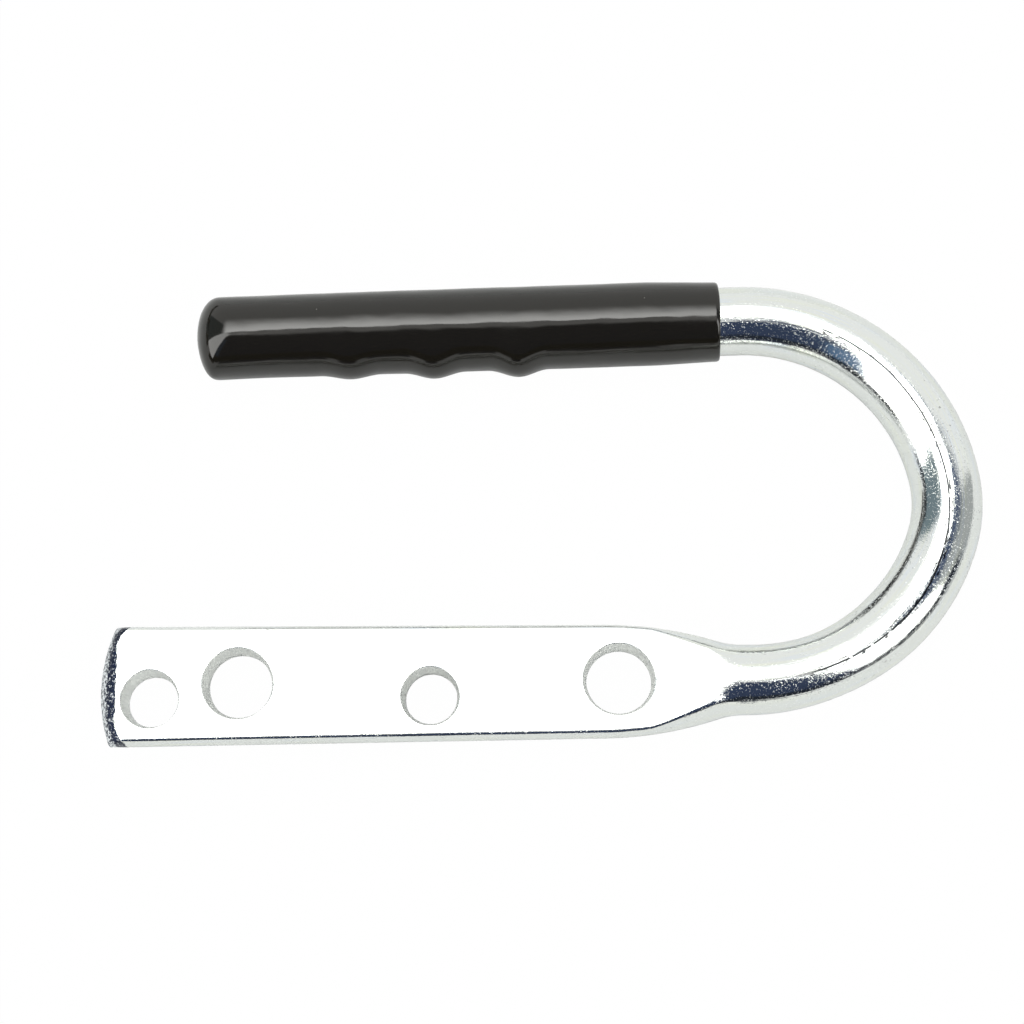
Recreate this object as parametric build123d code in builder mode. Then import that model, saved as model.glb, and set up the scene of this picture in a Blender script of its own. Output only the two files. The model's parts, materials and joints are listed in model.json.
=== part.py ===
"""A U-bent steel handle bar with a flat drilled tang, and the vinyl grip pushed over its other arm.

Frame, in mm: the origin is the centre of the large hole nearest the tang's free end, on the plane that
holds the bar's axis. +X runs along the tang to the bend, +Y across to the grip arm, and +Z is square to
the tang, on the side where the punched holes open out.
"""

from build123d import *
from math import atan, cos, degrees, radians, sin, sqrt
import os

# Round bar
bar_radius = 8.0
bend_start = 114.5
bend_arcs = ((46.5, 71), (29.5, 28), (45.5, 82))  # axis radius and sweep in degrees, from tang to arm
arm_end = -9.0  # the arm's cut end, inside the grip
arm_end_chamfer = 1.0

# Tang: flat faces and slightly bulged sides, as a hot round bar spreads when it is pressed
tang_thickness = 7.5
tang_end_half_width = 13.6  # over the bulge
side_bulge = 0.9
facing_stock = 0.5  # extra height on each face of the blank, cut away to leave it flat
end_tip = (-31.3, -1)  # the free end is slightly bowed, and cut a little out of square
end_near_corner = (-28.2, 14)
end_far_corner = (-29.2, -14)
end_round = 3.4

# Neck, where the flat tang turns into round bar: its plan outline is two tangent arcs on each side
neck_end = 112.2
neck_half_width = 12.7
neck_convex_radius = 85.0
neck_concave_radius = 17.0
neck_sections = 10
flat_share = 0.15  # share of the narrowing that comes before the neck starts to thicken
crown_angle = 40.0  # on the round bar, from the crown to where the edge of the flat has run out

# Punched holes: a cylindrical land on the -Z side, then a cone where the metal broke out
land_length = 4.0
breakout = 0.9  # growth in radius from the land to the +Z face
large_hole_radius = 7.3
large_holes = ((0, 0), (85, 0))
small_hole_radius = 5.85
small_holes = ((-19.6, -3.3), (43, -3.3))

# Grip sleeve, placed along the arm's axis from where that axis crosses the YZ plane
grip_tip = -11.6
grip_tip_radius = 9.65
grip_tip_round = 4.0
grip_radius = 9.85
grip_full_from = 20.0
grip_full_to = 92.0
grip_mouth = 109.5
grip_mouth_radius = 9.5
grip_lip_round = 0.8
ridges = ((24.0, 1.1), (43.5, 1.5), (63.0, 1.8))  # place of the crest along the arm, and its height
ridge_half_length = 5.8
ridge_overrun = 1.5  # how far each ridge's ends run on below the sleeve's surface
ridge_half_wrap = 65.0  # degrees round the sleeve on each side of the crest

half_thickness = tang_thickness / 2
breakout_angle = 2 * degrees(atan(breakout / (tang_thickness - land_length)))
both_neck_radii = neck_convex_radius + neck_concave_radius
neck_drop = neck_half_width - bar_radius
neck_start = neck_end - sqrt(both_neck_radii**2 - (both_neck_radii - neck_drop) ** 2)
neck_joint = neck_end - (neck_end - neck_start) * neck_concave_radius / both_neck_radii


def neck_width_at(x):
    """Half width of the neck in plan: a convex arc from the tang, then a concave arc into the bar."""
    if x < neck_joint:
        convex_centre = neck_half_width - neck_convex_radius
        return convex_centre + sqrt(neck_convex_radius**2 - (x - neck_start) ** 2)
    concave_centre = bar_radius + neck_concave_radius
    return concave_centre - sqrt(neck_concave_radius**2 - (x - neck_end) ** 2)


def tang_section(x, half_width):
    """Section across the tang's blank, whose bulged sides run on past both finished faces."""
    side_radius = (half_thickness**2 + side_bulge**2) / (2 * side_bulge)
    blank_z = half_thickness + facing_stock
    blank_y = half_width - side_radius + sqrt(side_radius**2 - blank_z**2)
    with BuildSketch(Plane.YZ.offset(x)) as section:
        with BuildLine():
            for side in (1, -1):
                corner = (side * blank_y, blank_z)
                opposite_corner = (side * blank_y, -blank_z)
                Line((side * blank_y, side * blank_z), (-side * blank_y, side * blank_z))
                ThreePointArc(opposite_corner, (side * half_width, 0), corner)
        make_face()
    return section.sketch


def neck_section(step):
    """One of the neck's sections, from the tang's outline at step 0 to a circle at the last step."""
    x = neck_start + (neck_end - neck_start) * step / neck_sections
    half_width = neck_width_at(x)
    narrowed = (neck_half_width - half_width) / neck_drop
    roundness = max(0, (narrowed - flat_share) / (1 - flat_share))
    flat_y = half_width - side_bulge
    edge_y = flat_y + roundness * (bar_radius * sin(radians(crown_angle)) - flat_y)
    edge_z = half_thickness + roundness * (bar_radius * cos(radians(crown_angle)) - half_thickness)
    crown_z = half_thickness + roundness * (bar_radius - half_thickness)
    with BuildSketch(Plane.YZ.offset(x)) as section:
        with BuildLine():
            for side in (1, -1):
                right = (side * edge_y, side * edge_z)
                left = (-side * edge_y, side * edge_z)
                if roundness:
                    ThreePointArc(right, (0, side * crown_z), left)
                else:
                    Line(right, left)
                ThreePointArc(
                    (side * edge_y, -edge_z), (side * half_width, 0), (side * edge_y, edge_z)
                )
        make_face()
    return section.sketch


def ridge_barrel(place, height):
    """Profile and axis of a finger ridge: a barrel set off from the sleeve's axis, which sinks into the
    sleeve at its ends and, round the sleeve, at ridge_half_wrap on each side of its crest."""
    wrap = 1 - cos(radians(ridge_half_wrap))
    offset = height * (height + 2 * grip_radius) / (2 * (grip_radius * wrap + height))
    barrel_radius = grip_radius + height - offset
    crest_radius = (ridge_half_length**2 + height**2) / (2 * height)
    half_length = ridge_half_length + ridge_overrun
    end_radius = barrel_radius - crest_radius + sqrt(crest_radius**2 - half_length**2)
    centre = along_arm.from_local_coords((place, -offset, 0))
    ridge_plane = Plane(origin=centre, x_dir=along_arm.x_dir, z_dir=along_arm.z_dir)
    with BuildSketch(ridge_plane) as profile:
        with BuildLine():
            crest = (0, -barrel_radius)
            ThreePointArc((-half_length, -end_radius), crest, (half_length, -end_radius))
            Polyline(
                (half_length, -end_radius),
                (half_length, 0),
                (-half_length, 0),
                (-half_length, -end_radius),
            )
        make_face()
    return profile.sketch, Axis(centre, along_arm.x_dir)


# The bend's axis, from the end of the neck to the start of the arm
with BuildLine() as bend_axis:
    Line((neck_end, 0), (bend_start, 0))
    for arc_radius, sweep_angle in bend_arcs:
        JernArc(
            start=bend_axis.line @ 1,
            tangent=bend_axis.line % 1,
            radius=arc_radius,
            arc_size=sweep_angle,
        )

arm_start = bend_axis.line @ 1
arm_direction = bend_axis.line % 1
along_arm = Plane(
    origin=arm_start - arm_direction * (arm_start.X / arm_direction.X),
    x_dir=-arm_direction,
    z_dir=(0, 0, 1),
)
arm_axis = Axis(along_arm.origin, along_arm.x_dir)
arm_length = along_arm.to_local_coords(arm_start).X - arm_end

with BuildPart() as steel_bar:
    # Tang, tapering slightly from its free end to the neck, with its faces cut flat
    blank_end = end_tip[0] - 1
    free_end_section = tang_section(blank_end, tang_end_half_width)
    loft(sections=[free_end_section, tang_section(neck_start, neck_half_width)], ruled=True)
    blank_length = neck_start - blank_end
    with Locations((blank_end + blank_length / 2, 0, 0)):
        Box(blank_length, 3 * tang_end_half_width, tang_thickness, mode=Mode.INTERSECT)
    # Free end, cut along a shallow arc and rounded over towards both faces
    with BuildSketch(Plane.XY.offset(-tang_thickness)):
        with BuildLine():
            ThreePointArc(end_near_corner, end_tip, end_far_corner)
            clear_of_end = blank_end - 1
            Polyline(
                end_far_corner,
                (clear_of_end, end_far_corner[1]),
                (clear_of_end, end_near_corner[1]),
                end_near_corner,
            )
        make_face()
    extrude(amount=2 * tang_thickness, mode=Mode.SUBTRACT)
    end_face = steel_bar.faces().sort_by(Axis.X)[0]
    face_edges = end_face.edges().group_by(Axis.Z)
    fillet(face_edges[0] + face_edges[-1], end_round)
    # Neck, bend and arm
    loft(sections=[neck_section(step) for step in range(neck_sections + 1)])
    with BuildSketch(Plane.YZ.offset(neck_end)):
        Circle(bar_radius)
    sweep(path=bend_axis.line)
    with BuildSketch(Plane(origin=arm_start, z_dir=arm_direction)):
        Circle(bar_radius)
    extrude(amount=arm_length)
    arm_end_face = steel_bar.faces().filter_by(GeomType.PLANE).sort_by(Axis.Y)[-1]
    chamfer(arm_end_face.edges(), arm_end_chamfer)
    # Holes, which all open out towards +Z
    for places, radius in ((large_holes, large_hole_radius), (small_holes, small_hole_radius)):
        with Locations([(x, y, half_thickness) for x, y in places]):
            CounterSinkHole(radius, radius + breakout, counter_sink_angle=breakout_angle)
steel_bar.part.label = "steel_bar"

with BuildPart() as grip_sleeve:
    # Outside: a long barrel, closed and rounded at the tip
    with BuildSketch(along_arm):
        with BuildLine():
            Polyline(
                (grip_tip, 0),
                (grip_tip, grip_tip_radius),
                (grip_full_from, grip_radius),
                (grip_full_to, grip_radius),
                (grip_mouth, grip_mouth_radius),
                (grip_mouth, 0),
                close=True,
            )
        make_face()
    revolve(axis=arm_axis)
    fillet(grip_sleeve.edges().group_by(Axis.X)[0], grip_tip_round)
    fillet(grip_sleeve.edges().group_by(Axis.X)[-1], grip_lip_round)
    for ridge_place, ridge_height in ridges:
        barrel, barrel_axis = ridge_barrel(ridge_place, ridge_height)
        revolve(barrel, axis=barrel_axis)
    # Bore, moulded to the bar's chamfered end and open at the mouth
    with BuildSketch(along_arm):
        with BuildLine():
            clear_of_mouth = grip_mouth + 1
            Polyline(
                (arm_end, 0),
                (arm_end, bar_radius - arm_end_chamfer),
                (arm_end + arm_end_chamfer, bar_radius),
                (clear_of_mouth, bar_radius),
                (clear_of_mouth, 0),
                close=True,
            )
        make_face()
    revolve(axis=arm_axis, mode=Mode.SUBTRACT)
grip_sleeve.part.label = "grip_sleeve"

os.makedirs("parts", exist_ok=True)
export_step(steel_bar.part, "parts/steel_bar.step")
export_step(grip_sleeve.part, "parts/grip_sleeve.step")
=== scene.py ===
"""Looks for the U-bent steel handle bar: the zinc-plated bar with its punched tang, and the vinyl grip.

The shapes below are worked out in mm, in the part's own frame, and become metres when a mesh is made.
"""

import json
from math import asin, cos, exp, pi, radians, sin, sqrt, tau

import bmesh
import bpy
from mathutils import Matrix, Vector, noise


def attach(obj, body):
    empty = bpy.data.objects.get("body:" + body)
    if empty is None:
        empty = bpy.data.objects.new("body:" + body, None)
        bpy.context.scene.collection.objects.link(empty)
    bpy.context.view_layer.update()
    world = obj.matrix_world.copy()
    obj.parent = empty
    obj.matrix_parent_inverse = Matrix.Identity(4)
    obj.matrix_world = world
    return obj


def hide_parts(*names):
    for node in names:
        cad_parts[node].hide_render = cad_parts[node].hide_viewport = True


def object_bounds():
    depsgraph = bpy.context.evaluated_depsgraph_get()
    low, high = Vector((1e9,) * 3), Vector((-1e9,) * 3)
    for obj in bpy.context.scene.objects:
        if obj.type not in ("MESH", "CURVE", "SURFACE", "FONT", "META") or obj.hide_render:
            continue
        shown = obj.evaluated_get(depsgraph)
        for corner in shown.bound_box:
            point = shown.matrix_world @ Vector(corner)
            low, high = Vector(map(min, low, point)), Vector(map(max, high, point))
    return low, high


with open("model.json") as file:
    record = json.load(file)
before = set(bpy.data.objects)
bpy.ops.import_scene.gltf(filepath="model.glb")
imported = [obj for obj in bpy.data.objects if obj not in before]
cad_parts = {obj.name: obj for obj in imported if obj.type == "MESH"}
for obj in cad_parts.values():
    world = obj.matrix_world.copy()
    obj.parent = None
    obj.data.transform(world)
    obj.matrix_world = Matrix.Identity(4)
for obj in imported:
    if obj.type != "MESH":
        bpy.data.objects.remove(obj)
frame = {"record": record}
cad_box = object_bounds()

MM = 0.001
GRAIN_MAP = "grain"  # UV map that runs along and round a piece, one unit to 100 mm
MAP_UNIT = 100.0
PUNCHED_AT = -100.0  # where the walls of the punched holes lie along that map, clear of everything else

# Round bar and bend, from the tang to the arm
BAR_RADIUS = 7.9
BEND_START = 114.5
BEND_ARCS = ((46.5, 71.0), (29.5, 28.0), (45.5, 82.0))
ARM_END = -9.0
ARM_END_CHAMFER = 1.0
DRAWN_AT, DRAWN_LENGTH, DRAWN_SHARE = 133.0, 14.0, 0.045  # where the bend's start is drawn thinner
WEAR = 0.03  # how deep the dents of the bending are

# Tang and neck
HALF_THICKNESS = 3.75
TANG_END = -31.3
TANG_END_HALF_WIDTH = 13.57
SIDE_BULGE = 0.9
TANG_EDGE = 0.62  # length of each side of the small rounding between face and side
ROUND_EDGE = 1.2  # and of the same rounding where the bar has become round
NECK_END = 112.2
NECK_HALF_WIDTH = 12.7
NECK_CONVEX_RADIUS = 85.0
NECK_CONCAVE_RADIUS = 17.0
NECK_RISE_START = 89.0
NECK_CROWN_START = 104.0  # up to here the face stays flat across, and then it rounds over
FLAT_SHARE = 0.15
CROWN_ANGLE = radians(40.0)

# Sheared free end: a blunt nose, whose edge towards the flat face bends round at the corners
END_BOW_RADIUS = 36.3
END_BOW_CENTRE = -1.0
NOSE_FACE_EDGE = -27.2
SHEARED_EDGE = (-27.5, -27.2)
NOSE_FADE_END = -14.0  # where the sections are square to the tang again
NOSE_FULLNESS = 1.45  # of its profile: 1 would be a straight bevel, and 2 an ellipse
TORN_DEPTH = 0.16
CORNER_IN, CORNER_BACK = 0.8, 0.4  # how far in and how far back the end's corners are rounded
FACE_EDGE_WANDER = 0.25
FACE_EDGE_BENDS = ((1, 9.0, 2.6), (-1, 8.8, 1.9))  # side, where it bends round, and by how much in 4 mm

# Punched holes, whose radii and places come from the frame's mounts
HOLE_LAND = 4.0
HOLE_BREAKOUT = 0.9
TORN_RIM = 0.035
NICK_DEPTH = 0.25
RIM_SHARPNESS = radians(17.0)  # edges that turn more than this stay crisp

# Grip sleeve, along the arm's axis from where it crosses the YZ plane
GRIP_TIP = -11.6
GRIP_TIP_RADIUS = 9.52
GRIP_RADIUS = 9.7
GRIP_FULL_FROM = 20.0
GRIP_FULL_TO = 92.0
GRIP_MOUTH = 109.5
GRIP_MOUTH_RADIUS = 9.3
GRIP_WALL_GAP = 0.02
BULB_AT, BULB_LENGTH, BULB_HEIGHT = -4.0, 7.0, 0.3  # a swelling behind the closed end, on the ridges' side
MOULDED_WAVES = ((1.0, 0.10), (3.3, 0.03))  # how many times finer than the slowest, and how deep
LIP_LENGTH = 1.0
LIP_FLARE = 0.32
LIP_BOW = 0.16
RIDGES = ((24.0, 1.1), (43.5, 1.5), (63.0, 1.8))
RIDGE_HALF_LENGTH = 7.2
RIDGE_WRAP = radians(75.0)
DOME_LENGTH = 9.0  # how far back the closed end's rounding reaches at the crown and underneath
DOME_SIDES = (5.2, 3.2)  # and how far on the plain side and on the ridges' side
DOME_FULLNESS = (2.15, 2.7)  # on the same two sides: 2 would be an ellipse
DOME_LEAN = 1.3  # how far the end's face leans back on the ridges' side


def smooth_step(low, high, value):
    """0 below low, 1 above high, and a smooth rise between them."""
    share = min(max((value - low) / (high - low), 0.0), 1.0)
    return share * share * (3 - 2 * share)


def ease(low, high, value):
    """0 below low, 1 above high, and between them a straight rise with short smooth ends."""
    share = min(max((value - low) / (high - low), 0.0), 1.0)
    return mix(share, smooth_step(0.0, 1.0, share), 0.45)


def mix(a, b, share):
    """The value a given share of the way from a to b."""
    return a + (b - a) * share


def spaced(start, stop, step):
    """Evenly spaced values from start to stop, about one step apart."""
    count = max(1, round((stop - start) / step))
    return [start + (stop - start) * i / count for i in range(count + 1)]


# ---------------------------------------------------------------- mesh helpers


def ring_mesh(name, rings, along, girth, capped=(True, True)):
    """A mesh skinned over closed rings of points in mm, with its UV map, and a fan over each capped end."""
    mesh_maker = bmesh.new()
    grain = mesh_maker.loops.layers.uv.new(GRAIN_MAP)
    count = len(rings[0])
    verts = [[mesh_maker.verts.new(Vector(p) * MM) for p in ring] for ring in rings]
    for j in range(len(rings) - 1):
        for i in range(count):
            k = (i + 1) % count
            corners = (verts[j][i], verts[j + 1][i], verts[j + 1][k], verts[j][k])
            face = mesh_maker.faces.new(corners)
            places = ((j, i), (j + 1, i), (j + 1, i + 1), (j, i + 1))
            for loop, (row, column) in zip(face.loops, places):
                loop[grain].uv = (along[row] / MAP_UNIT, girth * column / count / MAP_UNIT)
            face.smooth = True
    for wanted, row, ring in zip(capped, (0, -1), (verts[0], verts[-1])):
        if not wanted:
            continue
        centre = mesh_maker.verts.new(sum((v.co for v in ring), Vector()) / count)
        for i in range(count):
            face = mesh_maker.faces.new((ring[i], ring[(i + 1) % count], centre))
            for loop in face.loops:
                loop[grain].uv = (along[row] / MAP_UNIT, loop.vert.co.y / MM / MAP_UNIT)
            face.smooth = True
    bmesh.ops.remove_doubles(mesh_maker, verts=mesh_maker.verts, dist=1e-7)
    bmesh.ops.recalc_face_normals(mesh_maker, faces=mesh_maker.faces)
    mesh = bpy.data.meshes.new(name)
    mesh_maker.to_mesh(mesh)
    mesh_maker.free()
    piece = bpy.data.objects.new(name, mesh)
    bpy.context.scene.collection.objects.link(piece)
    return piece


# ------------------------------------------------------------------- steel bar


def bar_axis(distance):
    """Point on the bar's axis, and its heading, at a distance along it from the YZ plane."""
    point = Vector((min(distance, BEND_START), 0, 0))
    heading = 0.0
    left = distance - BEND_START
    for radius, sweep in BEND_ARCS:
        turn = min(max(left / radius, 0.0), radians(sweep))
        centre = point + radius * Vector((-sin(heading), cos(heading), 0))
        heading += turn
        point = centre - radius * Vector((-sin(heading), cos(heading), 0))
        left -= turn * radius
    return point + max(left, 0.0) * Vector((cos(heading), sin(heading), 0)), heading


BEND_LENGTH = sum(radius * radians(sweep) for radius, sweep in BEND_ARCS)
ARM_START, ARM_HEADING = bar_axis(BEND_START + BEND_LENGTH)
ARM_X = -Vector((cos(ARM_HEADING), sin(ARM_HEADING), 0))  # along the arm, towards the bend
ARM_Y = Vector((-ARM_X.y, ARM_X.x, 0))
ARM_ORIGIN = ARM_START - ARM_X * (ARM_START.x / ARM_X.x)
BAR_END = BEND_START + BEND_LENGTH + (ARM_START - ARM_ORIGIN).length - ARM_END

NECK_RADII = NECK_CONVEX_RADIUS + NECK_CONCAVE_RADIUS
NECK_DROP = NECK_HALF_WIDTH - BAR_RADIUS
NECK_START = NECK_END - sqrt(NECK_RADII**2 - (NECK_RADII - NECK_DROP) ** 2)
NECK_JOINT = NECK_END - (NECK_END - NECK_START) * NECK_CONCAVE_RADIUS / NECK_RADII


def half_width_at(distance):
    """Half width of the bar in plan: the tang's slight taper, then the neck's two arcs, then round bar."""
    if distance < NECK_START:
        return mix(TANG_END_HALF_WIDTH, NECK_HALF_WIDTH, (distance - TANG_END) / (NECK_START - TANG_END))
    if distance < NECK_JOINT:
        convex_centre = NECK_HALF_WIDTH - NECK_CONVEX_RADIUS
        return convex_centre + sqrt(NECK_CONVEX_RADIUS**2 - (distance - NECK_START) ** 2)
    if distance < NECK_END:
        concave_centre = BAR_RADIUS + NECK_CONCAVE_RADIUS
        return concave_centre - sqrt(NECK_CONCAVE_RADIUS**2 - (distance - NECK_END) ** 2)
    return BAR_RADIUS


def arc_point(half_chord, sagitta, share):
    """Offset along an arc's chord, rise above it, and tangent, at a share (-1 to 1) of the way along it."""
    if sagitta < 1e-6:
        return half_chord * share, 0.0, (1.0, 0.0)
    radius = (half_chord**2 + sagitta**2) / (2 * sagitta)
    half_angle = asin(half_chord / radius)
    angle = half_angle * share
    rise = radius * (cos(angle) - cos(half_angle))
    return radius * sin(angle), rise, (cos(angle), -sin(angle))


TOP_STEPS = 44
EDGE_STEPS = 5
SIDE_STEPS = 22


def bar_section(distance):
    """Points (y, z) round the section, from the middle of its underside, anticlockwise seen from +X."""
    half_width = half_width_at(distance)
    narrowed = (NECK_HALF_WIDTH - half_width) / NECK_DROP
    roundness = max(0.0, (narrowed - FLAT_SHARE) / (1 - FLAT_SHARE))
    corner_y = mix(half_width - SIDE_BULGE, BAR_RADIUS * sin(CROWN_ANGLE), roundness)
    crown_z = mix(HALF_THICKNESS, BAR_RADIUS, ease(NECK_RISE_START, NECK_END, distance))
    crowned = smooth_step(NECK_CROWN_START, NECK_END, distance)
    corner_z = crown_z - BAR_RADIUS * (1 - cos(CROWN_ANGLE)) * crowned
    edge = mix(TANG_EDGE, ROUND_EDGE, crowned)

    top_share = 1 - edge / corner_y
    side_share = 1 - edge / corner_z
    top = []
    for step in range(TOP_STEPS // 2 + 1):
        y, rise, tangent = arc_point(corner_y, crown_z - corner_z, top_share * step * 2 / TOP_STEPS)
        top.append((y, corner_z + rise))
    top_tangent = tangent
    side = []
    for step in range(SIDE_STEPS // 2 + 1):
        z, rise, tangent = arc_point(corner_z, half_width - corner_y, side_share * step * 2 / SIDE_STEPS)
        side.append((corner_y + rise, z))
    side_tangent = (tangent[1], tangent[0])

    # The rounding between them is a curve whose handle is where their tangents cross
    (y0, z0), (y1, z1) = side[-1], top[-1]
    cross = side_tangent[0] * top_tangent[1] - side_tangent[1] * top_tangent[0]
    reach = ((y1 - y0) * top_tangent[1] - (z1 - z0) * top_tangent[0]) / cross
    handle = (y0 + reach * side_tangent[0], z0 + reach * side_tangent[1])
    rounding = []
    for step in range(1, EDGE_STEPS):
        t = step / EDGE_STEPS
        weights = ((1 - t) ** 2, 2 * t * (1 - t), t * t)
        points = (side[-1], handle, top[-1])
        rounding.append(tuple(sum(w * p[axis] for w, p in zip(weights, points)) for axis in (0, 1)))

    quarter = side + rounding + top[::-1]  # from the +Y side round to the crown
    upper = quarter + [(-y, z) for y, z in quarter[-2::-1]]
    lower = [(y, -z) for y, z in upper[-2:0:-1]]
    ring = upper + lower
    start = len(upper) + len(lower) // 2
    return ring[start:] + ring[:start]


def nose_outline(y, half_width):
    """Where the tang's free end is, and where its flat face starts, across the tang."""
    tip = TANG_END + END_BOW_RADIUS - sqrt(END_BOW_RADIUS**2 - (y - END_BOW_CENTRE) ** 2)
    corner = max(0.0, abs(y) - (half_width - CORNER_IN)) / CORNER_IN
    tip += CORNER_BACK * (1 - sqrt(max(0.0, 1 - corner**2)))
    face = NOSE_FACE_EDGE + FACE_EDGE_WANDER * noise.noise(Vector((0, y * 0.45, 3.0)))
    for side, start, bend in FACE_EDGE_BENDS:
        face += bend * max(0.0, (side * y - start) / 4.0) ** 1.6
    return tip, face


def bar_ring(distance, nose=1.0):
    """The section's points in the part's frame. A nose below 1 is how far in from the free end it lies."""
    centre, heading = bar_axis(distance)
    across = Vector((-sin(heading), cos(heading), 0))
    half_width = half_width_at(distance)
    points = []
    for y, z in bar_section(distance):
        if distance < NOSE_FADE_END:
            tip, face = nose_outline(y, half_width)
            if nose < 1:
                place = mix(tip, face, nose)
                height = (1 - (1 - nose) ** NOSE_FULLNESS) ** (1 / NOSE_FULLNESS)
                rough = TORN_DEPTH * smooth_step(0.0, 0.25, nose) * smooth_step(1.0, 0.85, nose)
                shear = noise.noise(Vector((place * 0.9, y * 1.1, z * 0.35)))
                place += rough * (shear + 0.6 * noise.noise(Vector((place * 2.4, y * 2.7, z))))
                z *= height
            else:
                fade = smooth_step(NOSE_FADE_END, NOSE_FACE_EDGE, distance)
                place = distance + (face - NOSE_FACE_EDGE) * fade
            points.append(Vector((place, y, z)))
            continue
        worn = WEAR * smooth_step(NECK_START, NECK_END, distance)
        ripple = noise.noise(Vector((distance * 0.07, y * 0.16, z * 0.16)))
        ripple += 0.5 * noise.noise(Vector((distance * 0.19, y * 0.4, z * 0.4)))
        scale = 1 - worn * abs(ripple) / BAR_RADIUS
        drawn = 1 - DRAWN_SHARE * exp(-(((distance - DRAWN_AT) / DRAWN_LENGTH) ** 2))
        points.append(centre + across * (y * scale * drawn) + Vector((0, 0, z * scale)))
    return points


def hole_cutter(name, place, radius):
    """A closed cutter for one punched hole: rounded rim, land, then the cone where the metal broke out."""
    rim = 0.2  # radius of the rounding at both faces
    clear = 1.5  # how far the cutter runs on past the faces
    off_face = 0.07  # keeps the cutter's rings off the faces
    steps = 3
    count = 120
    top_radius = radius + HOLE_BREAKOUT - rim
    start_radius = radius + 2 * rim
    profile = [(start_radius, -HALF_THICKNESS - clear), (start_radius, -HALF_THICKNESS - off_face)]
    for step in range(1, steps + 1):
        angle = radians(mix(30.0, 90.0, step / steps))
        profile.append((radius + rim * (1 - sin(angle)), -HALF_THICKNESS + rim * (1 - cos(angle))))
    profile.append((radius, -HALF_THICKNESS + HOLE_LAND))
    for step in range(steps, 0, -1):
        angle = radians(mix(35.0, 90.0, step / steps))
        profile.append((top_radius + rim * (1 - sin(angle)), HALF_THICKNESS - rim * (1 - cos(angle))))
    profile.append((top_radius + 2 * rim, HALF_THICKNESS + off_face))
    profile.append((top_radius + 2 * rim, HALF_THICKNESS + clear))
    rings = []
    for r, z in profile:
        ring = []
        for i in range(count):
            angle = tau * i / count
            torn = TORN_RIM * noise.noise(Vector((cos(angle) * 3.1, sin(angle) * 3.1, place.x + z * 0.1)))
            nick = max(0.0, noise.noise(Vector((cos(angle) * 9, sin(angle) * 9, place.x))) - 0.45)
            r_here = r + torn * smooth_step(0.5, HALF_THICKNESS, z)
            r_here += NICK_DEPTH * nick * smooth_step(3.0, 3.7, z)
            ring.append(place + Vector((r_here * cos(angle), r_here * sin(angle), z)))
        rings.append(ring)
    return ring_mesh(name, rings, [PUNCHED_AT + z for r, z in profile], tau * radius)


def make_steel_bar():
    """The whole bar as one closed mesh: nose, tang with its holes, neck, bend and arm."""
    nose_rings = 18
    nose_reach = 4  # how far the nose goes along the grain map
    stations = [(NOSE_FACE_EDGE, 1 - cos(pi / 2 * i / nose_rings)) for i in range(nose_rings)]
    distances = spaced(NOSE_FACE_EDGE, NOSE_FADE_END, 0.8)[:-1]
    distances += spaced(NOSE_FADE_END, NECK_START, 1.2)[:-1]
    distances += spaced(NECK_START, NECK_END, 0.5)[:-1]
    in_grip = BEND_START + BEND_LENGTH + 12  # from here on the sleeve hides the bar
    distances += spaced(NECK_END, in_grip, 0.7)[:-1]
    distances += spaced(in_grip, BAR_END - ARM_END_CHAMFER, 2.5)
    stations += [(distance, 1.0) for distance in distances]
    rings = [bar_ring(distance, nose) for distance, nose in stations]
    along = [distance if nose == 1.0 else TANG_END + nose_reach * nose for distance, nose in stations]
    end_centre, _ = bar_axis(BAR_END)
    last = rings[-1]
    inward = (BAR_RADIUS - ARM_END_CHAMFER) / BAR_RADIUS
    last_centre, _ = bar_axis(BAR_END - ARM_END_CHAMFER)
    rings.append([end_centre + (p - last_centre) * inward for p in last])
    along.append(BAR_END)
    bar = ring_mesh("zinc_steel_bar", rings, along, tau * BAR_RADIUS, capped=(False, True))

    cutters = []
    for mount in frame["record"]["mounts"]:
        if mount["kind"] == "bore":
            place = Vector(mount["pos_m"]) / MM
            cutter = hole_cutter("cutter_" + mount["name"], place, mount["dims"]["r_mm"])
            modifier = bar.modifiers.new(mount["name"], "BOOLEAN")
            modifier.operation = "DIFFERENCE"
            modifier.solver = "EXACT"
            modifier.object = cutter
            cutters.append(cutter)
    seen = bar.evaluated_get(bpy.context.evaluated_depsgraph_get())
    drilled = bpy.data.meshes.new_from_object(seen)
    bar.modifiers.clear()
    bar.data = drilled
    drilled.set_sharp_from_angle(angle=RIM_SHARPNESS)
    for cutter in cutters:
        bpy.data.objects.remove(cutter)
    return bar


# ---------------------------------------------------------------------- grip


def grip_radius_at(place):
    """The sleeve's radius along the arm, without its ridges."""
    swell = smooth_step(GRIP_TIP, GRIP_FULL_FROM, place)
    taper = smooth_step(GRIP_FULL_TO, GRIP_MOUTH, place)
    return mix(mix(GRIP_TIP_RADIUS, GRIP_RADIUS, swell), GRIP_MOUTH_RADIUS, taper)


def grip_surface_radius(place, angle):
    """The sleeve's radius with its finger ridges, which stand on the -Y side, and its moulded waviness."""
    radius = grip_radius_at(place)
    from_crest = abs((angle - 1.5 * pi + pi) % tau - pi)
    wrap = 0.5 + 0.5 * cos(min(from_crest / RIDGE_WRAP, 1.0) * pi)
    for crest, height in RIDGES:
        off = min(abs(place - crest) / RIDGE_HALF_LENGTH, 1.0)
        radius += height * wrap * (0.5 + 0.5 * cos(off * pi))
    bulb = exp(-(((place - BULB_AT) / BULB_LENGTH) ** 2))
    radius += BULB_HEIGHT * bulb * max(0.0, cos(from_crest)) ** 2
    where = Vector((place * 0.06, cos(angle) * 0.9, sin(angle) * 0.9))
    for fineness, depth in MOULDED_WAVES:
        radius += depth * (noise.noise(where * fineness) - 0.4)
    return radius


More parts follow.
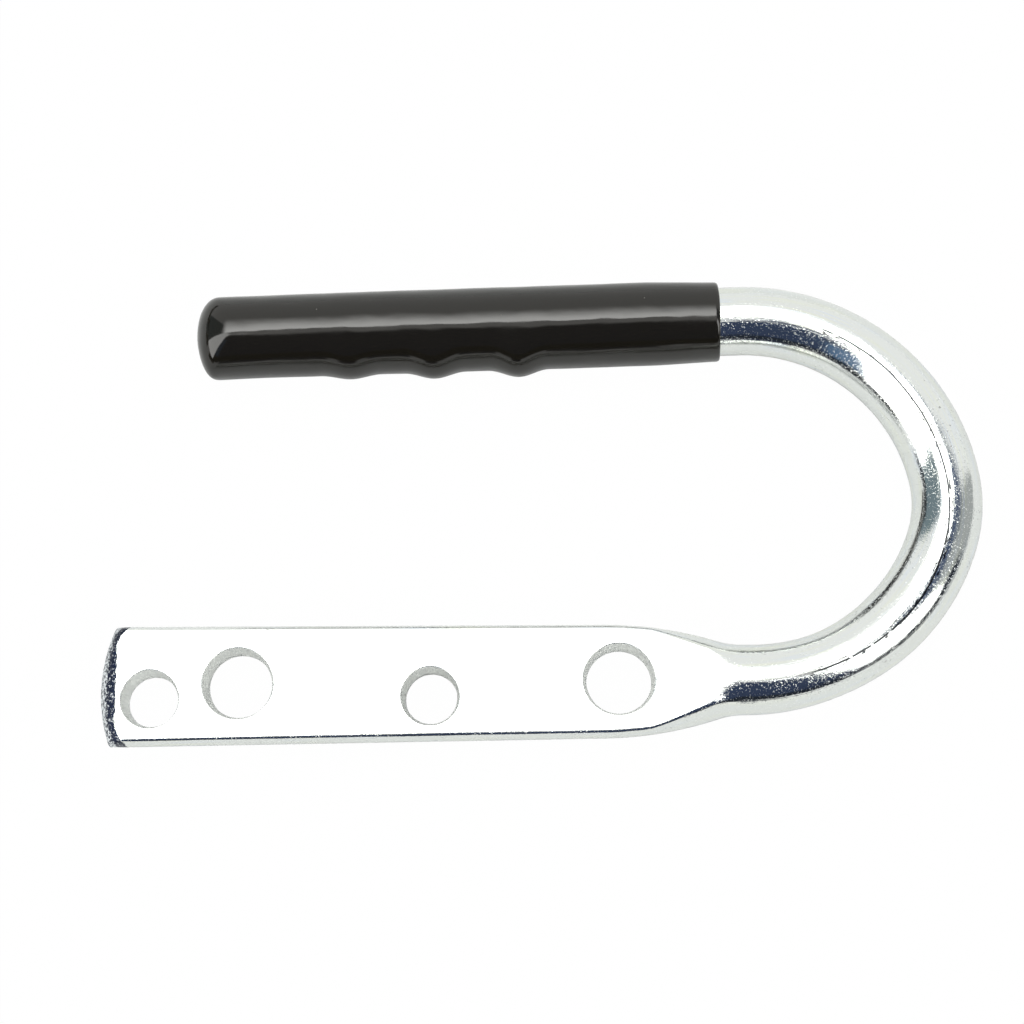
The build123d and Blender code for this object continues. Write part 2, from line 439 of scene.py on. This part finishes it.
def grip_point(place, radius, angle):
    """A point by its place along the arm's axis and its radius and angle about it, from +Y towards +Z."""
    return ARM_ORIGIN + ARM_X * place + ARM_Y * (radius * sin(angle)) + Vector((0, 0, radius * cos(angle)))


def dome_shape(angle):
    """How far the closed end's rounding reaches back at an angle, its fullness, and its lean's share."""
    ridge_side = max(0.0, -sin(angle)) ** 1.5
    depth = mix(mix(*DOME_SIDES, ridge_side), DOME_LENGTH, cos(angle) ** 2)
    return depth, mix(*DOME_FULLNESS, ridge_side), ridge_side


def make_grip():
    """The sleeve as one closed mesh: domed tip, ridged barrel, rolled lip, and the bore the bar fills."""
    count = 144
    angles = [tau * i / count for i in range(count)]
    rings = []
    along = []
    dome_steps = 26
    for step in range(1, dome_steps):
        share = sin(pi / 2 * step / dome_steps)
        ring = []
        for angle in angles:
            depth, power, ridge_side = dome_shape(angle)
            bow = depth * (1 - (1 - share**power) ** (1 / power))
            place = GRIP_TIP + bow + DOME_LEAN * ridge_side * share**1.5
            radius = grip_surface_radius(GRIP_TIP + DOME_LENGTH, angle) * share
            ring.append(grip_point(place, radius, angle))
        rings.append(ring)
        along.append(GRIP_TIP + DOME_LENGTH * share**4)
    barrel_start = GRIP_TIP + DOME_LENGTH
    drawn_length = 12.0
    lip_start = GRIP_MOUTH - LIP_LENGTH
    for place in spaced(barrel_start, lip_start, 0.6):
        ring = []
        for angle in angles:
            # The first rings are drawn out to the dome's edge, which lies further forward on the sides
            depth, _, ridge_side = dome_shape(angle)
            slack = DOME_LENGTH - depth - DOME_LEAN * ridge_side
            slack *= 1 - smooth_step(barrel_start, barrel_start + drawn_length, place)
            ring.append(grip_point(place - slack, grip_surface_radius(place, angle), angle))
        rings.append(ring)
        along.append(place)
    bore = BAR_RADIUS + GRIP_WALL_GAP
    wall = GRIP_MOUTH_RADIUS - bore
    lip_steps = 10
    for step in range(1, lip_steps + 1):
        turn = pi * step / lip_steps
        ring = []
        for angle in angles:
            outer = grip_surface_radius(lip_start, angle)
            flare = LIP_FLARE + 0.10 * noise.noise(Vector((cos(angle) * 1.5, sin(angle) * 1.5, 7.0)))
            inner = bore + flare
            bow = LIP_BOW * noise.noise(Vector((cos(angle) * 0.8, sin(angle) * 0.8, 2.0)))
            radius = mix(inner, outer, 0.5 + 0.5 * cos(turn))
            place = lip_start
            if step < lip_steps:
                place += (LIP_LENGTH + bow) * sin(turn) ** 0.8
            ring.append(grip_point(place, radius, angle))
        rings.append(ring)
        along.append(GRIP_MOUTH + wall * step / lip_steps)
    end_radius = bore - ARM_END_CHAMFER
    end_place = ARM_END - GRIP_WALL_GAP
    inside = [(place, bore) for place in spaced(GRIP_MOUTH - 4.0, end_place + ARM_END_CHAMFER, -8.0)]
    for place, radius in inside + [(end_place, end_radius)]:
        rings.append([grip_point(place, radius, angle) for angle in angles])
        along.append(2 * GRIP_MOUTH - place)
    return ring_mesh("vinyl_grip", rings, along, tau * GRIP_RADIUS)


# ------------------------------------------------------------------- materials

PLATE = (0.745, 0.765, 0.745, 1.0)
YELLOWISH_PLATE = (0.76, 0.78, 0.69, 1.0)
BLUISH_PLATE = (0.70, 0.745, 0.80, 1.0)
PIT_GREY = (0.20, 0.20, 0.19, 1.0)
SCORE_BLACK = (0.008, 0.009, 0.012, 1.0)
# Dark navy of the sheared end: partly its darker bare steel, partly a painted reflection of the dark room
# and painted shade in its pits
TORN_DARK_AND_PAINTED_REFLECTION = (0.014, 0.020, 0.042, 1.0)
TORN_BRIGHT = (0.80, 0.83, 0.85, 1.0)
# Brighter than the plate: painted light, for the light bounced round inside the punched holes
PUNCHED_WALL_PAINTED_LIGHT = (0.93, 0.945, 0.92, 1.0)
VINYL_BLACK = (0.0070, 0.0060, 0.0040, 1.0)
DUST = (0.16, 0.155, 0.14, 1.0)
FLOOR_WHITE = (0.60, 0.605, 0.60, 1.0)
SEEN_WHITE = (1.0, 1.0, 1.0, 1.0)  # what the camera sees of the room and the table


class Graph:
    """A node tree that is written as nested calls."""

    def __init__(self, owner):
        owner.use_nodes = True
        self.tree = owner.node_tree
        self.tree.nodes.clear()

    def node(self, kind, inputs, **properties):
        """Adds a node. Each input is a value or another node's output."""
        node = self.tree.nodes.new("ShaderNode" + kind)
        for name, value in properties.items():
            setattr(node, name, value)
        for key, value in inputs.items():
            if isinstance(value, bpy.types.NodeSocket):
                self.tree.links.new(value, node.inputs[key])
            else:
                node.inputs[key].default_value = value
        return node

    def math(self, operation, *values):
        """The result of a Math node."""
        return self.node("Math", dict(enumerate(values)), operation=operation).outputs[0]

    def noise(self, vector, scale, detail=2.0, roughness=0.5):
        """The value of a Noise node."""
        inputs = {"Vector": vector, "Scale": scale, "Detail": detail, "Roughness": roughness}
        return self.node("TexNoise", inputs).outputs["Fac"]

    def ramp(self, value, low, high, to_low=0.0, to_high=1.0):
        """value as it goes from low to high, made to go smoothly from to_low to to_high."""
        inputs = {"Value": value, "From Min": low, "From Max": high, "To Min": to_low, "To Max": to_high}
        node = self.node("MapRange", inputs, interpolation_type="SMOOTHSTEP")
        return node.outputs["Result"]

    def blend(self, share, a, b):
        """The colour a given share of the way from a to b."""
        node = self.node("Mix", {0: share, 6: a, 7: b}, data_type="RGBA")
        return node.outputs[2]

    def stretched(self, vector, scale):
        """A vector with each axis scaled."""
        return self.node("Mapping", {"Vector": vector, "Scale": scale}).outputs[0]

    def bump(self, height, distance, strength, normal=None):
        """The normal after a bump of this height."""
        inputs = {"Height": height, "Distance": distance, "Strength": strength}
        if normal is not None:
            inputs["Normal"] = normal
        return self.node("Bump", inputs).outputs[0]


def zinc_plated_steel():
    """Bright zinc over drawn and pressed steel: matt specks, draw lines, pits and faint tints."""
    material = bpy.data.materials.new("zinc_plated_steel")
    g = Graph(material)
    place = g.node("TexCoord", {}).outputs["Object"]
    grain_map = g.node("UVMap", {}, uv_map=GRAIN_MAP).outputs[0]

    # A line scored by the bending die: it runs a little outside the crown, then a little inside it
    grain_axes = g.node("SeparateXYZ", {0: grain_map}).outputs
    along, across = grain_axes["X"], grain_axes["Y"]
    die_line = g.ramp(along, 1.50, 1.88, 0.2745, 0.2300)
    drift = g.ramp(g.noise(g.stretched(grain_map, (9.0, 0.0, 1.0)), 1.0, 3.0), 0.3, 0.7, -0.0012, 0.0012)
    off_line = g.math("ABSOLUTE", g.math("SUBTRACT", g.math("ADD", across, drift), die_line))
    marked = g.math("MULTIPLY", g.ramp(along, 1.20, 1.30), g.ramp(along, 2.30, 2.40, 1.0, 0.0))
    broken = g.ramp(g.noise(g.stretched(grain_map, (40.0, 0.0, 1.0)), 1.0, 2.0), 0.32, 0.42)
    scored = g.math("MULTIPLY", g.ramp(off_line, 0.0024, 0.0056, 1.0, 0.0), broken)
    scuffs = g.ramp(g.noise(g.stretched(grain_map, (50.0, 110.0, 1.0)), 1.0, 3.0), 0.54, 0.62)
    scuffed = g.math("MULTIPLY", g.ramp(off_line, 0.010, 0.022, 1.0, 0.0), scuffs)
    scored = g.math("MULTIPLY", g.math("MAXIMUM", scored, scuffed), marked)

    # The punched walls are a little rough and coloured brighter than the plate, which is painted light for
    # the light bounced round inside the holes. The sheared free end is as rough, and darker: partly its own
    # bare sheared steel, partly a painted navy reflection of the dark room and painted shade in its pits
    punched = g.ramp(along, -0.9, -0.6, 1.0, 0.0)
    wander = g.ramp(g.noise(place, 700.0, 2.0), 0.3, 0.7, -0.002, 0.002)
    sheared = g.ramp(g.math("ADD", along, wander), *(x / MAP_UNIT for x in SHEARED_EDGE), 1.0, 0.0)
    sheared = g.math("SUBTRACT", sheared, punched)

    # Colour: plate tinted faintly yellow-green and blue, in patches drawn out along the bar
    patches = g.noise(g.stretched(grain_map, (2.2, 40.0, 1.0)), 2.2, 3.0)
    blue_patches = g.noise(g.stretched(grain_map, (3.5, 50.0, 1.0)), 1.7, 3.0)
    tinted = g.blend(g.ramp(patches, 0.45, 0.80), PLATE, YELLOWISH_PLATE)
    tinted = g.blend(g.ramp(blue_patches, 0.5, 0.8), tinted, BLUISH_PLATE)
    pits = g.noise(place, 1500.0, 2.0)
    pit_areas = g.noise(place, 90.0, 2.0)
    pitted = g.math("MULTIPLY", g.ramp(pits, 0.66, 0.72), g.ramp(pit_areas, 0.5, 0.65))
    colour = g.blend(g.math("MULTIPLY", pitted, 0.7), tinted, PIT_GREY)
    torn = g.noise(place, 1600.0, 3.0, 0.65)
    brighter = g.ramp(along, -0.304, -0.288, 0.04, -0.11)  # towards the tip
    torn_tone = g.ramp(g.math("ADD", torn, brighter), 0.43, 0.61)
    # The sheared end's colour, from painted navy reflection and pit shade up to bright steel specks
    torn_colour_and_painted_reflection = g.blend(torn_tone, TORN_DARK_AND_PAINTED_REFLECTION, TORN_BRIGHT)
    colour = g.blend(g.math("MULTIPLY", scored, 0.97), colour, SCORE_BLACK)
    colour = g.blend(sheared, colour, torn_colour_and_painted_reflection)
    # The punched walls get painted light: a colour brighter than the plate
    colour = g.blend(punched, colour, PUNCHED_WALL_PAINTED_LIGHT)

    # Height: fine grain, facets that catch the light, draw lines, slow waviness, pits
    fine = g.noise(place, 2400.0, 2.0, 0.6)
    facets = g.ramp(g.noise(place, 2300.0, 1.0), 0.60, 0.76)
    coarse = g.noise(place, 600.0, 2.0)
    waviness = g.noise(g.stretched(grain_map, (6.0, 40.0, 1.0)), 1.0, 2.0)
    lines = g.noise(g.stretched(grain_map, (1.5, 330.0, 1.0)), 1.0, 3.0)
    normal = g.bump(waviness, 0.00012, 0.5)
    normal = g.bump(lines, 0.00004, 0.5, normal)
    normal = g.bump(coarse, 0.00003, 0.5, normal)
    normal = g.bump(fine, 0.000012, 0.8, normal)
    normal = g.bump(facets, 0.00002, 0.8, normal)
    normal = g.bump(g.math("MULTIPLY", pitted, -1.0), 0.0001, 1.0, normal)
    normal = g.bump(g.math("MULTIPLY", torn, sheared), 0.0003, 1.0, normal)

    smudges = g.noise(place, 60.0, 3.0)
    roughness = g.ramp(g.math("ADD", smudges, g.math("MULTIPLY", fine, 0.4)), 0.4, 1.0, 0.05, 0.13)
    roughness = g.math("MAXIMUM", roughness, g.math("MULTIPLY", sheared, 0.3))
    specks = g.ramp(g.noise(place, 2700.0, 3.0, 0.6), 0.56, 0.70, 0.0, 0.40)
    roughness = g.math("MAXIMUM", roughness, specks)
    roughness = g.math("MAXIMUM", roughness, g.math("MULTIPLY", punched, 0.30))
    shader = g.node(
        "BsdfPrincipled",
        {"Base Color": colour, "Metallic": 1.0, "Roughness": roughness, "Normal": normal},
    )
    g.node("OutputMaterial", {"Surface": shader.outputs[0]})
    return material


def black_vinyl():
    """Glossy dip-moulded vinyl: slow waviness, a faint orange peel, smudges, and specks of dust."""
    material = bpy.data.materials.new("black_vinyl")
    g = Graph(material)
    place = g.node("TexCoord", {}).outputs["Object"]
    grain_map = g.node("UVMap", {}, uv_map=GRAIN_MAP).outputs[0]

    dust_cells = g.node("TexVoronoi", {"Vector": place, "Scale": 520.0, "Randomness": 1.0})
    near_cell = g.ramp(dust_cells.outputs["Distance"], 0.04, 0.09, 1.0, 0.0)
    chosen = g.ramp(g.node("SeparateColor", {0: dust_cells.outputs["Color"]}).outputs[0], 0.90, 0.905)
    dust = g.math("MULTIPLY", near_cell, chosen)
    colour = g.blend(dust, VINYL_BLACK, DUST)

    waves = g.noise(g.stretched(grain_map, (9.0, 16.0, 1.0)), 1.0, 2.0)
    peel = g.noise(place, 900.0, 2.0)
    normal = g.bump(waves, 0.0002, 0.5)
    normal = g.bump(peel, 0.000012, 0.4, normal)
    normal = g.bump(dust, 0.00008, 0.8, normal)

    smudges = g.noise(place, 140.0, 4.0, 0.6)
    roughness = g.math("ADD", g.ramp(smudges, 0.35, 0.7, 0.07, 0.13), g.math("MULTIPLY", dust, 0.4))
    shader = g.node(
        "BsdfPrincipled",
        {"Base Color": colour, "Roughness": roughness, "Normal": normal, "IOR": 1.5},
    )
    g.node("OutputMaterial", {"Surface": shader.outputs[0]})
    return material


# ---------------------------------------------------------------------- studio


ROOM_WHITE = (1.02, 1.03, 1.02)
CEILING_WHITE = (1.3, 1.3, 1.28)
LAMP_WHITE = (7.8, 7.8, 7.6)
LAMP_ACROSS = ((-29.0, -15.0), (9.0, 13.0))  # the overhead lamp's soft edges, in degrees of tilt towards +X
LAMP_FADE = (0.0, 38.0)  # its hard edge, and where it has faded out, in degrees of tilt towards +Y
# What stands round the object over the white room, each over the ones before. Each has a name, its start
# and end in degrees anticlockwise from +X, the same in degrees down from straight overhead, and its colour.
CARDS = (
    ("grey-blue gap", (142, 182), (30, 87), (0.20, 0.26, 0.29)),
    ("grey gap", (341, 380), (14, 86), (0.44, 0.46, 0.46)),
    ("gap by the ceiling", (343, 398), (15, 37), (0.08, 0.11, 0.19)),
    ("its thin end", (396, 435), (15, 27), (0.16, 0.20, 0.30)),
    ("dark gap", (218, 312), (12, 80), (0.04, 0.056, 0.105)),
    ("deep gap", (255, 276), (70, 88), (0.032, 0.042, 0.085)),
    ("blue gap", (219, 240), (26, 72), (0.12, 0.20, 0.33)),
    ("table's far edge", (116, 152), (85, 92), (0.03, 0.035, 0.04)),
    ("table's left edge", (150, 186), (78, 88), (0.045, 0.05, 0.055)),
    ("table's near left corner", (200, 232), (68, 87), (0.025, 0.03, 0.04)),
    ("table's near edge", (205, 352), (65, 81), (0.02, 0.025, 0.035)),
    ("left softbox", (181, 221), (12, 76), (4.5, 4.5, 4.4)),
    ("right softbox", (309, 343), (19, 66), (4.5, 4.5, 4.4)),
)
CARD_EDGE = 1.5  # half the width of a card's soft edge, in degrees
CEILING_EDGE = (9.0, 17.0)
LAMP_HARD_EDGE = 0.4  # half its width, in degrees
FLOOR_EVENNESS = 0.99  # how far the camera sees the floor as evenly lit


def make_room():
    """The studio: white overhead and behind, with softboxes and darker gaps round the sides."""
    world = bpy.data.worlds.new("studio")
    bpy.context.scene.world = world
    g = Graph(world)
    direction = g.node("TexCoord", {}).outputs["Generated"]
    axes = g.node("SeparateXYZ", {0: direction}).outputs
    around = g.math("MULTIPLY", g.math("ARCTAN2", axes["Y"], axes["X"]), 180 / pi)
    from_top = g.math("MULTIPLY", g.math("ARCCOSINE", axes["Z"]), 180 / pi)

    colour = (*ROOM_WHITE, 1.0)
    for _, turns, heights, card in CARDS:
        share = 1.0
        for place, (start, end) in ((around, turns), (from_top, heights)):
            centre, half = (start + end) / 2, (end - start) / 2
            off = g.math("ABSOLUTE", g.math("WRAP", g.math("SUBTRACT", place, centre), 180.0, -180.0))
            inside = g.ramp(off, half - CARD_EDGE, half + CARD_EDGE, 1.0, 0.0)
            share = g.math("MULTIPLY", share, inside)
        colour = g.blend(share, colour, (*card, 1.0))
    overhead = g.ramp(from_top, *CEILING_EDGE, 1.0, 0.0)
    colour = g.blend(overhead, colour, (*CEILING_WHITE, 1.0))
    tilt_x = g.math("MULTIPLY", g.math("ARCTAN2", axes["X"], axes["Z"]), 180 / pi)
    tilt_y = g.math("MULTIPLY", g.math("ARCTAN2", axes["Y"], axes["Z"]), 180 / pi)
    rise, fall = LAMP_ACROSS
    lamp = g.math("MULTIPLY", g.ramp(tilt_x, *rise), g.ramp(tilt_x, *fall, 1.0, 0.0))
    start, end = LAMP_FADE
    lamp = g.math("MULTIPLY", lamp, g.ramp(tilt_y, start - LAMP_HARD_EDGE, start + LAMP_HARD_EDGE))
    lamp = g.math("MULTIPLY", lamp, g.ramp(tilt_y, start, end, 1.0, 0.0))
    colour = g.blend(lamp, colour, (*LAMP_WHITE, 1.0))
    seen = g.node("LightPath", {}).outputs["Is Camera Ray"]
    colour = g.blend(seen, colour, SEEN_WHITE)
    background = g.node("Background", {"Color": colour, "Strength": 1.0})
    g.node("OutputWorld", {"Surface": background.outputs[0]})


def make_floor():
    """A plain white table at the object's lowest point, which the camera sees as evenly lit."""
    half = 3.0  # metres
    z = cad_box[0].z
    corners = [(-half, -half, z), (half, -half, z), (half, half, z), (-half, half, z)]
    mesh = bpy.data.meshes.new("floor")
    mesh.from_pydata(corners, [], [(0, 1, 2, 3)])
    floor = bpy.data.objects.new("floor", mesh)
    bpy.context.scene.collection.objects.link(floor)
    material = bpy.data.materials.new("floor_white")
    g = Graph(material)
    matt = g.node("BsdfDiffuse", {"Color": FLOOR_WHITE}).outputs[0]
    even = g.node("Emission", {"Color": SEEN_WHITE, "Strength": 1.0}).outputs[0]
    seen = g.node("LightPath", {}).outputs["Is Camera Ray"]
    share = g.math("MULTIPLY", seen, FLOOR_EVENNESS)
    surface = g.node("MixShader", {0: share, 1: matt, 2: even}).outputs[0]
    g.node("OutputMaterial", {"Surface": surface})
    mesh.materials.append(material)


def make_camera():
    """Nearly straight down, from a little towards -Y."""
    data = bpy.data.cameras.new("camera")
    data.sensor_width = 36.0
    data.lens = 75.94
    data.clip_start = 0.01
    camera = bpy.data.objects.new("camera", data)
    right = Vector((0.99955, -0.00707, -0.02927))
    back = Vector((0.02687, -0.22999, 0.97282))
    turn = Matrix((right, back.cross(right), back)).transposed()
    camera.matrix_world = Matrix.Translation(Vector((0.0746, -0.0740, 0.4789))) @ turn.to_4x4()
    bpy.context.scene.collection.objects.link(camera)
    bpy.context.scene.camera = camera


# ---------------------------------------------------------------------- set up

bar = make_steel_bar()
bar.data.materials.clear()
bar.data.materials.append(zinc_plated_steel())
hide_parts("steel_bar")
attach(bar, "root")

grip = make_grip()
grip.data.materials.append(black_vinyl())
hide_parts("grip_sleeve")
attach(grip, "root")

make_room()
make_floor()
make_camera()
bpy.context.scene.view_settings.view_transform = "Standard"
